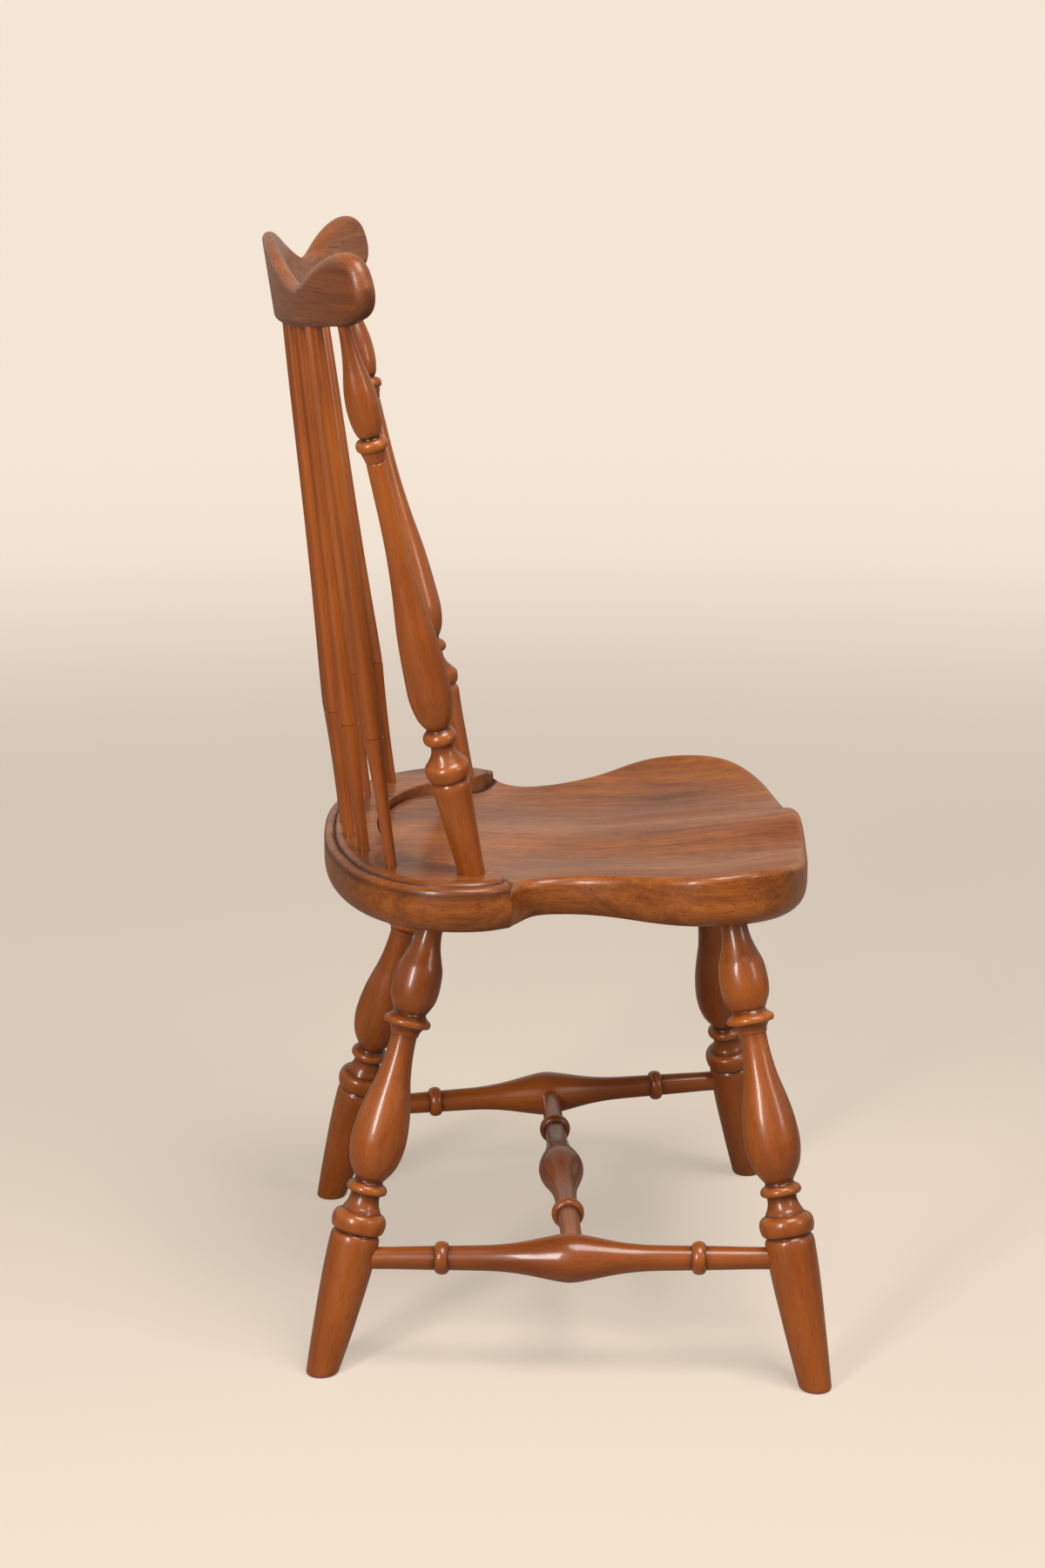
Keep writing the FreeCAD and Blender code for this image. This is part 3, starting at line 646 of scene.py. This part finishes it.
def comb_mesh():
    """Vertices, faces and tone of the comb rail, and the place of each vertex on the flat board."""
    outline = comb_outline()
    tip = int(np.argmax(outline[:, 0]))
    upper, lower = outline[:tip + 1], outline[tip:][::-1]
    end = outline[tip, 0]
    share = np.linspace(0.0, 1.0, 110)
    half = end * np.sin(0.5 * math.pi * share ** 0.85)
    arcs = np.concatenate([-half[:0:-1], half])
    high = np.interp(np.abs(arcs), upper[:, 0], upper[:, 1])
    low = np.interp(np.abs(arcs), lower[:, 0], lower[:, 1])
    high[0] = high[-1] = low[0] = low[-1] = outline[tip, 1]
    up = 0.5 * (1.0 - np.cos(math.pi * np.linspace(0.0, 1.0, 40)))
    arc_grid = np.repeat(arcs[:, None], len(up), 1)
    high_grid = np.repeat(high[:, None], len(up), 1)
    low_grid = np.repeat(low[:, None], len(up), 1)
    height = low_grid + up[None] * (high_grid - low_grid)
    flat = np.stack([np.abs(arc_grid).ravel(), height.ravel()], 1)
    edge = distance_to(flat, outline).reshape(height.shape)
    top_thick = np.interp(np.abs(arc_grid),
                          [row[0] for row in COMB_TOP] + [row[0] for row in EAR_THICK],
                          [row[2] for row in COMB_TOP] + [row[1] for row in EAR_THICK])
    share_up = np.clip((height - low_grid) / np.maximum(high_grid - low_grid, 1e-6), 0.0, 1.0)
    taper = np.clip((share_up - 0.35) / 0.6, 0.0, 1.0) ** 1.2
    thick = COMB_THICK + (top_thick - COMB_THICK) * taper
    near_end = np.clip((np.abs(arc_grid) - 225.0) / 45.0, 0.0, 1.0)
    soft = np.clip(0.5 + 4.0 * (share_up - 0.5), near_end, 1.0)
    radius = COMB_EDGE_RADIUS + (0.5 * thick - COMB_EDGE_RADIUS) * soft
    fall = rounding(edge, radius)
    rear = 0.5 * COMB_THICK - fall
    front = 0.5 * COMB_THICK - thick + fall
    vertices = [bent(arc_grid, height, offset).reshape(-1, 3) for offset in (rear, front)]
    columns, rows = height.shape
    total = columns * rows
    faces = []
    for i in range(columns - 1):
        for j in range(rows - 1):
            a, b = i * rows + j, (i + 1) * rows + j
            faces.append((a, a + 1, b + 1, b))
            faces.append((total + a, total + b, total + b + 1, total + a + 1))
        a, b = i * rows, (i + 1) * rows
        faces.append((a, b, total + b, total + a))
        faces.append((a + rows - 1, total + a + rows - 1, total + b + rows - 1, b + rows - 1))
    # painted shade: darker within a few millimetres of the board's bottom edge
    under_shade = np.clip(1.0 - (height - low_grid) / 7.0, 0.0, 1.0) * 0.5
    # painted highlight: paler along the rounded upper edges of the board
    painted_highlight = np.clip(1.0 - np.minimum(edge, height - low_grid + 2.0) / 5.0, 0.0, 1.0)
    painted_highlight = painted_highlight * (share_up > 0.5) * 0.6
    tone = np.tile(np.column_stack([under_shade.ravel(), painted_highlight.ravel()]), (2, 1))
    board = [np.stack([height, offset, arc_grid], -1).reshape(-1, 3) for offset in (rear, front)]
    return np.vstack(vertices) / 1000.0, faces, tone, np.vstack(board) / 1000.0


def bent(arcs, heights, offset):
    """A point of the unrolled board, bowed to its radius, leaned back and turned."""
    lean_sine, lean_cosine = math.sin(COMB_LEAN), math.cos(COMB_LEAN)
    turn = arcs / COMB_BOW
    sag = COMB_BOW * (1.0 - np.cos(turn))
    rise = (heights - COMB_BOTTOM - sag * lean_sine) / lean_cosine
    x = (COMB_BOW + offset) * np.sin(turn)
    y = (COMB_BOW + offset) * np.cos(turn) - COMB_BOW
    back = y * lean_cosine + rise * lean_sine
    z = -y * lean_sine + rise * lean_cosine
    return twisted(np.stack([x, back + COMB_BACK + TIP_LINE, z + COMB_BOTTOM], -1))


def merged(made, distance=0.00002):
    """Joins vertices that fall together and turns all faces outward."""
    work = bmesh.new()
    work.from_mesh(made.data)
    bmesh.ops.remove_doubles(work, verts=work.verts, dist=distance)
    bmesh.ops.recalc_face_normals(work, faces=work.faces)
    work.to_mesh(made.data)
    work.free()
    made.data.update()


vertices, faces, tone, board = comb_mesh()
comb = add_mesh("comb_rail_carved", vertices, faces, COMB_WOOD, tone)
layer = comb.data.attributes.new("board", "FLOAT_VECTOR", "POINT")
layer.data.foreach_set("vector", board.astype(np.float32).ravel())
merged(comb)
sharpen(comb, 50.0)
dress(comb, "comb_rail")

# Seat: rows run outward from a point of the saddle, over the gutter and the rear platform, down
# the edge and in again below

# outlines: half of the seat's width and how far back, at the widest line and at the bottom
REAR_EDGE = ((198.0, 0.0), (209.0, 18.0), (212.0, 46.0), (205.0, 74.0), (188.0, 98.0),
             (158.0, 120.5), (112.0, 138.0), (61.0, 148.5), (0.0, 151.5))
SIDE_EDGE = ((198.0, 0.0), (178.0, -6.0), (164.5, -20.0), (161.5, -38.0), (166.0, -62.0),
             (184.0, -98.0), (204.0, -126.0), (214.0, -152.0), (211.5, -182.0),
             (195.5, -211.0), (158.0, -235.0), (100.0, -247.5), (0.0, -254.0))
REAR_UNDER = ((191.0, 2.0), (200.0, 20.0), (202.0, 45.0), (195.0, 70.0), (179.0, 91.0),
              (151.0, 112.0), (108.0, 130.0), (60.0, 141.0), (0.0, 144.0))
SIDE_UNDER = ((191.0, 2.0), (171.0, -10.0), (157.0, -22.0), (153.5, -40.0), (157.0, -66.0),
              (171.0, -95.0), (184.0, -120.0), (189.5, -150.0), (185.0, -180.0),
              (172.0, -206.0), (145.0, -226.0), (95.0, -244.0), (0.0, -251.0))
# the gutter's rear edge
GUTTER = ((230.0, 2.0), (190.0, 3.5), (172.0, 11.0), (156.0, 24.0), (147.0, 42.0),
          (136.0, 61.0), (112.0, 80.0), (70.0, 98.0), (0.0, 107.0))
# how far back; half width, middle ridge, hollow and rim of the saddle there
SADDLE = ((150.0, 215.0, 407.0, 406.5, 408.5), (60.0, 215.0, 407.0, 406.5, 408.5),
          (-40.0, 162.0, 402.0, 398.5, 407.0), (-100.0, 186.0, 404.5, 398.5, 414.0),
          (-155.0, 214.0, 409.0, 400.5, 421.5), (-207.0, 200.0, 415.0, 404.5, 424.0),
          (-262.0, 160.0, 421.0, 408.0, 419.0))
HUB = np.array([0.0, -30.0])
# the bead round the platform: distance in from the seat's outline, and height
BEAD = ((0.0, 405.6), (0.25, 407.4), (0.9, 409.0), (2.0, 410.3), (3.6, 411.0), (5.4, 411.2),
        (7.0, 410.8), (8.3, 410.0), (8.9, 409.3), (9.4, 410.2), (10.2, 411.9), (11.4, 413.1),
        (13.2, 413.8), (16.0, PLATFORM_TOP), (22.0, PLATFORM_TOP))
LIP_BLEND = 16.0
SEAT_EDGE_RADIUS = 8.0
GUTTER_DEPTH = 4.2


def saddle_height(points):
    """Height of the carved saddle, with a ridge in the middle and a hollow either side of it."""
    rows = np.array(SADDLE)[::-1]
    across, back = np.abs(points[:, 0]), np.clip(points[:, 1], rows[0, 0], rows[-1, 0])
    wide, ridge, hollow, rim = cubic(rows[:, 0], rows[:, 1:], back).T
    inner = np.clip(across / (0.42 * wide), 0.0, 1.0)
    outer = np.maximum(across - 0.42 * wide, 0.0) / (0.58 * wide)
    middle = hollow + (ridge - hollow) * (0.5 + 0.5 * np.cos(math.pi * inner))
    return middle + (rim - hollow) * np.where(outer < 1.0, outer ** 1.9, 1.0 + 0.6 * (outer - 1.0))


def seat_outline(rear, side):
    """The whole outline of the seat, from its two curves on one side, which meet at the tip."""
    near = np.linspace(0.0, 1.0, 170) ** 1.3
    right_side = half_curve(side, near)[::-1]
    right_rear = half_curve(rear, np.linspace(0.0, 1.0, 120) ** 1.25)
    right_half = np.vstack([right_side, right_rear[1:]])
    left_half = right_half[-2:0:-1] * np.array([-1.0, 1.0])
    return np.vstack([right_half, left_half])


def polar(points):
    """Direction and distance from the hub, with the left side folded on the right."""
    moved = points - HUB
    return np.arctan2(moved[:, 1], np.abs(moved[:, 0])), np.linalg.norm(moved, axis=1)


def seat_mesh():
    """Vertices, faces and tone of the carved seat."""
    outline = seat_outline(REAR_EDGE, SIDE_EDGE)
    below = seat_outline(REAR_UNDER, SIDE_UNDER)
    angle, reach = polar(outline)
    aim = (outline - HUB) / reach[:, None]
    count = len(outline)

    gutter = half_curve(GUTTER, np.linspace(0.0, 1.0, 900))
    gutter_angle, gutter_reach = polar(gutter)
    order = np.argsort(gutter_angle)
    rim_reach = np.interp(angle, gutter_angle[order], gutter_reach[order])
    behind = (angle > gutter_angle.min() + 0.002) & (rim_reach < reach - 0.3)
    near_arm = np.clip((np.abs(outline[:, 0]) - 120.0) / 75.0, 0.0, 1.0)
    width = 4.5 + 6.0 * near_arm ** 2
    slant = 1.0 / np.maximum(0.45, 1.0 - 0.5 * near_arm ** 2)
    lip_reach = np.where(behind, rim_reach - width * slant, reach)
    rim_reach = np.where(behind, rim_reach, reach)

    def reach_at(distance):
        """How far from the hub each ray comes within a distance of the outline."""
        found = reach - distance
        for _ in range(6):
            found = found + 0.8 * (distance_to(HUB + aim * found[:, None], outline, True) - distance)
        return found

    rows, kinds = [], []
    inner = 30
    edge_rows = [25.0, 18.0, 13.0, 10.0, 8.0, 6.2, 4.6, 3.2, 2.1, 1.2, 0.55, 0.15, 0.0]
    edge_reach = [reach_at(d) for d in edge_rows]
    for k in range(inner):
        share = (k + 1.0) / (inner + 1.0)
        stop = np.where(behind, lip_reach - LIP_BLEND, edge_reach[0])
        rows.append(stop * share)
        kinds.append("saddle")
    for k in range(len(edge_rows)):
        near_lip = lip_reach - LIP_BLEND * (1.0 - (k + 0.5) / len(edge_rows))
        rows.append(np.where(behind, near_lip, edge_reach[k]))
        kinds.append("saddle")
    for share in (0.0, 0.06, 0.14, 0.24, 0.36, 0.5, 0.64, 0.76, 0.85, 0.91, 0.95, 0.98, 1.0):
        rows.append(lip_reach + (rim_reach - lip_reach) * share)
        kinds.append(share)
    for share in (0.03, 0.08, 0.2, 0.4, 0.6, 0.8):
        stop = np.maximum(reach_at(BEAD[-1][0]), rim_reach)
        rows.append(rim_reach + (stop - rim_reach) * share)
        kinds.append("platform")
    for d, _ in BEAD[::-1]:
        rows.append(np.maximum(reach_at(d), rim_reach))
        kinds.append("platform")

    vertices, tones = [], []
    lip_points = HUB + aim * lip_reach[:, None]
    lip_height = saddle_height(lip_points)
    bead_at = np.array([row[0] for row in BEAD])
    bead_height = np.array([row[1] for row in BEAD])
    wall_top = saddle_height(outline) - SEAT_EDGE_RADIUS
    for found, kind in zip(rows, kinds):
        points = HUB + aim * found[:, None]
        away = distance_to(points, outline, True)
        tone = np.zeros((count, 2))
        if kind == "saddle":
            height = saddle_height(points)
            height = height - np.where(behind, 0.0, rounding(away, SEAT_EDGE_RADIUS))
            # painted highlight: a paler band along the rounded top edge of the saddle
            tone[:, 1] = np.where(behind, 0.0, np.clip(1.0 - np.abs(away - 2.5) / 4.0, 0.0, 1.0))
        elif kind == "platform":
            step = np.clip((found - rim_reach) / 1.2, 0.0, 1.0)
            height = np.interp(away, bead_at, bead_height) - 0.7 * (1.0 - step) ** 2
            height = np.where(behind, height, wall_top)
            # painted shade: dark lines in the groove between the bead and the platform and at the
            # seat's outline
            line = np.exp(-((away - 9.0) / 1.1) ** 2) + 0.5 * np.exp(-(away / 1.0) ** 2)
            tone[:, 0] = np.where(behind, np.clip(line, 0.0, 1.0), 0.0)
        else:
            drop = GUTTER_DEPTH - 0.8 * near_arm
            bowl = np.sin(0.5 * math.pi * min(1.0, kind / 0.62)) ** 1.5
            height = lip_height - drop * bowl
            climb = np.clip((kind - 0.78) / 0.2, 0.0, 1.0)
            edge_height = np.interp(away, bead_at, bead_height) - 0.7
            height = height + (edge_height - height) * climb ** 1.6
            height = np.where(behind, height, wall_top)
            shade = math.exp(-((kind - 0.68) / 0.27) ** 2)
            tone[:, 0] = np.where(behind, shade, 0.0)
        vertices.append(np.column_stack([points, height]))
        tones.append(tone)
    outer_height = vertices[-1][:, 2]
    for share in (0.3, 0.65, 1.0):
        height = outer_height + (EDGE_BEVEL_TOP - outer_height) * share
        vertices.append(np.column_stack([outline, height]))
        tones.append(np.zeros((count, 2)))
    # painted shade: the rounding under the edge and the bottom grow darker towards the underside
    for k in range(1, 11):
        swing = 0.5 * math.pi * k / 10.0
        points = below + (outline - below) * math.cos(swing)
        level = EDGE_BEVEL_TOP - (EDGE_BEVEL_TOP - SEAT_BOTTOM) * math.sin(swing)
        vertices.append(np.column_stack([points, np.full(count, level)]))
        tones.append(np.tile([0.55 * k / 10.0, 0.0], (count, 1)))
    for share in (0.7, 0.35):
        points = HUB + (below - HUB) * share
        vertices.append(np.column_stack([points, np.full(count, SEAT_BOTTOM)]))
        tones.append(np.tile([0.5, 0.0], (count, 1)))
    grid = np.vstack(vertices)
    tone = np.vstack(tones)
    last = len(vertices) - 1
    faces = []
    for k in range(last):
        for i in range(count):
            j = (i + 1) % count
            faces.append((k * count + i, (k + 1) * count + i, (k + 1) * count + j, k * count + j))
    top_hub, low_hub = len(grid), len(grid) + 1
    hubs = np.array([[*HUB, saddle_height(HUB[None])[0]], [*HUB, SEAT_BOTTOM]])
    for i in range(count):
        j = (i + 1) % count
        faces.append((top_hub, i, j))
        faces.append((low_hub, last * count + j, last * count + i))
    grid = np.vstack([grid, hubs])
    # painted shade on the middle of the bottom, as round it
    tone = np.vstack([tone, [[0.0, 0.0], [0.5, 0.0]]])
    # painted shade: a dark ring round the foot of each stile and spindle, where it meets the
    # platform
    for foot_x, foot_back, radius in FEET:
        gap = np.hypot(grid[:, 0] - foot_x, grid[:, 1] - foot_back) - radius
        ring = np.exp(-(np.maximum(gap, 0.0) / 1.8) ** 2) * (grid[:, 2] > PLATFORM_TOP - 2.0)
        tone[:, 0] = np.maximum(tone[:, 0], 0.75 * ring)
    grid[:, 1] += TIP_LINE
    return grid / 1000.0, faces, tone


vertices, faces, tone = seat_mesh()
seat = add_mesh("seat_carved", vertices, faces, SEAT_WOOD, tone)
merged(seat)
sharpen(seat, 40.0)
dress(seat, "seat")


# Floor, backdrop, light and camera, in metres

WALL = srgb(248, 232, 215)
FLOOR = srgb(226, 212, 196)
THROWN_BACK = (0.45, 0.42, 0.4)
FLOOR_EDGE = 3.8
COVE = 1.2
ROOM_TOP = 5.0
PALE_FROM = 0.9
PALE_TO = 4.6
GLOW_NEAR = 0.6
GLOW_GAIN = 0.36
MIRRORED_FLOOR = 0.08
MIRRORED_GAIN = 0.6


def smooth_step(tree, value, low, high):
    made = node(tree, "ShaderNodeMapRange", interpolation_type="SMOOTHSTEP")
    link(tree, value, made.inputs["Value"])
    made.inputs["From Min"].default_value = low
    made.inputs["From Max"].default_value = high
    return made.outputs["Result"]


def backdrop():
    """Pale paint on the floor and the wall round it. The camera sees part of its own colour, so
    that it stays even far from the lamps and still takes the chair's shadow. The floor throws
    less light up than it shows, as a wooden floor does."""
    material = bpy.data.materials.new("backdrop_paint")
    material.use_nodes = True
    tree = material.node_tree
    tree.nodes.clear()
    out = node(tree, "ShaderNodeOutputMaterial")
    place = node(tree, "ShaderNodeNewGeometry").outputs["Position"]
    reach = node(tree, "ShaderNodeVectorMath", operation="LENGTH")
    link(tree, place, reach.inputs[0])
    away = smooth_step(tree, reach.outputs["Value"], PALE_FROM, PALE_TO)
    axes = node(tree, "ShaderNodeSeparateXYZ")
    link(tree, place, axes.inputs[0])
    high = smooth_step(tree, axes.outputs["Z"], 0.0, COVE)
    colour = mix(tree, "MIX", away, FLOOR, WALL)
    path = node(tree, "ShaderNodeLightPath")
    camera_ray = path.outputs["Is Camera Ray"]
    paint = node(tree, "ShaderNodeBsdfDiffuse")
    dull = mix(tree, "MULTIPLY", 1.0, colour, THROWN_BACK)
    link(tree, mix(tree, "MIX", camera_ray, dull, colour), paint.inputs["Color"])
    glow = node(tree, "ShaderNodeEmission")
    link(tree, colour, glow.inputs["Color"])
    other = maths(tree, "MAXIMUM", path.outputs["Is Glossy Ray"],
                  path.outputs["Is Transmission Ray"])
    shown = maths(tree, "MULTIPLY_ADD", away, GLOW_GAIN, GLOW_NEAR)
    mirrored = maths(tree, "MULTIPLY_ADD", high, MIRRORED_GAIN, MIRRORED_FLOOR)
    seen = maths(tree, "MAXIMUM", maths(tree, "MULTIPLY", camera_ray, shown),
                 maths(tree, "MULTIPLY", other, mirrored))
    choose = node(tree, "ShaderNodeMixShader")
    link(tree, seen, choose.inputs[0])
    link(tree, paint.outputs[0], choose.inputs[1])
    link(tree, glow.outputs[0], choose.inputs[2])
    link(tree, choose.outputs[0], out.inputs["Surface"])
    return material


def room():
    """A round floor that curves up into a wall all round, alike from every side."""
    sides = 96
    bends = 12
    section = [(FLOOR_EDGE, 0.0)]
    for bend in range(1, bends + 1):
        turn = math.radians(90.0 * bend / bends)
        section.append((FLOOR_EDGE + COVE * math.sin(turn), COVE * (1.0 - math.cos(turn))))
    section.append((FLOOR_EDGE + COVE, ROOM_TOP))
    vertices = [(0.0, 0.0, 0.0)]
    for radius, height in section:
        for side in range(sides):
            turn = math.tau * side / sides
            vertices.append((radius * math.cos(turn), radius * math.sin(turn), height))
    faces = [(0, 1 + side, 1 + (side + 1) % sides) for side in range(sides)]
    for level in range(len(section) - 1):
        for side in range(sides):
            low = 1 + level * sides
            after = (side + 1) % sides
            faces.append((low + side, low + sides + side, low + sides + after, low + after))
    mesh = bpy.data.meshes.new("room")
    mesh.from_pydata(vertices, [], faces)
    mesh.polygons.foreach_set("use_smooth", [True] * len(faces))
    mesh.materials.append(backdrop())
    made = bpy.data.objects.new("room", mesh)
    bpy.context.scene.collection.objects.link(made)


room()

world = bpy.data.worlds.new("studio")
bpy.context.scene.world = world
world.use_nodes = True
fill = world.node_tree.nodes["Background"]
fill.inputs["Color"].default_value = (0.95, 0.92, 0.88, 1.0)
fill.inputs["Strength"].default_value = 0.15


LAMP_COLOUR = (1.0, 0.96, 0.9)


def lamp(name, place, target, size_x, size_y, power):
    """A soft rectangular lamp, in watts, that faces a point of the chair."""
    light = bpy.data.lights.new(name, "AREA")
    light.shape = "RECTANGLE"
    light.size = size_x
    light.size_y = size_y
    light.energy = power
    light.color = LAMP_COLOUR
    made = bpy.data.objects.new(name, light)
    bpy.context.scene.collection.objects.link(made)
    made.location = place
    made.rotation_euler = (Vector(target) - Vector(place)).to_track_quat("-Z", "Y").to_euler()


lamp("ceiling", (-0.9, -0.5, 2.6), (0.0, 0.0, 0.3), 1.2, 1.2, 66.0)
lamp("window", (-2.2, 1.4, 1.4), (0.0, 0.0, 0.4), 0.45, 1.3, 62.0)
lamp("front_fill", (-1.7, -2.3, 1.6), (0.0, 0.0, 0.5), 0.6, 1.0, 16.0)

# the camera solved from the photograph
camera_data = bpy.data.cameras.new("camera")
camera = bpy.data.objects.new("camera", camera_data)
bpy.context.scene.collection.objects.link(camera)
bpy.context.scene.camera = camera
camera_data.sensor_fit = "VERTICAL"
camera_data.sensor_height = 36.0
camera_data.lens = 70.02
camera_data.dof.use_dof = False
yaw = math.radians(-2.427)
pitch = math.radians(13.4935)
roll = math.radians(0.055)
forward = Vector((math.cos(pitch) * math.cos(yaw), math.cos(pitch) * math.sin(yaw),
                  -math.sin(pitch)))
right = forward.cross(Vector((0, 0, 1))).normalized()
up = right.cross(forward)
right_rolled = right * math.cos(roll) + up * math.sin(roll)
up_rolled = up * math.cos(roll) - right * math.sin(roll)
spot = Vector((-2.5125, 0.0897 + TIP_LINE / 1000.0, 1.0485))
camera.matrix_world = Matrix((
    (right_rolled.x, up_rolled.x, -forward.x, spot.x),
    (right_rolled.y, up_rolled.y, -forward.y, spot.y),
    (right_rolled.z, up_rolled.z, -forward.z, spot.z),
    (0, 0, 0, 1)))

bpy.context.scene.view_settings.view_transform = "Standard"
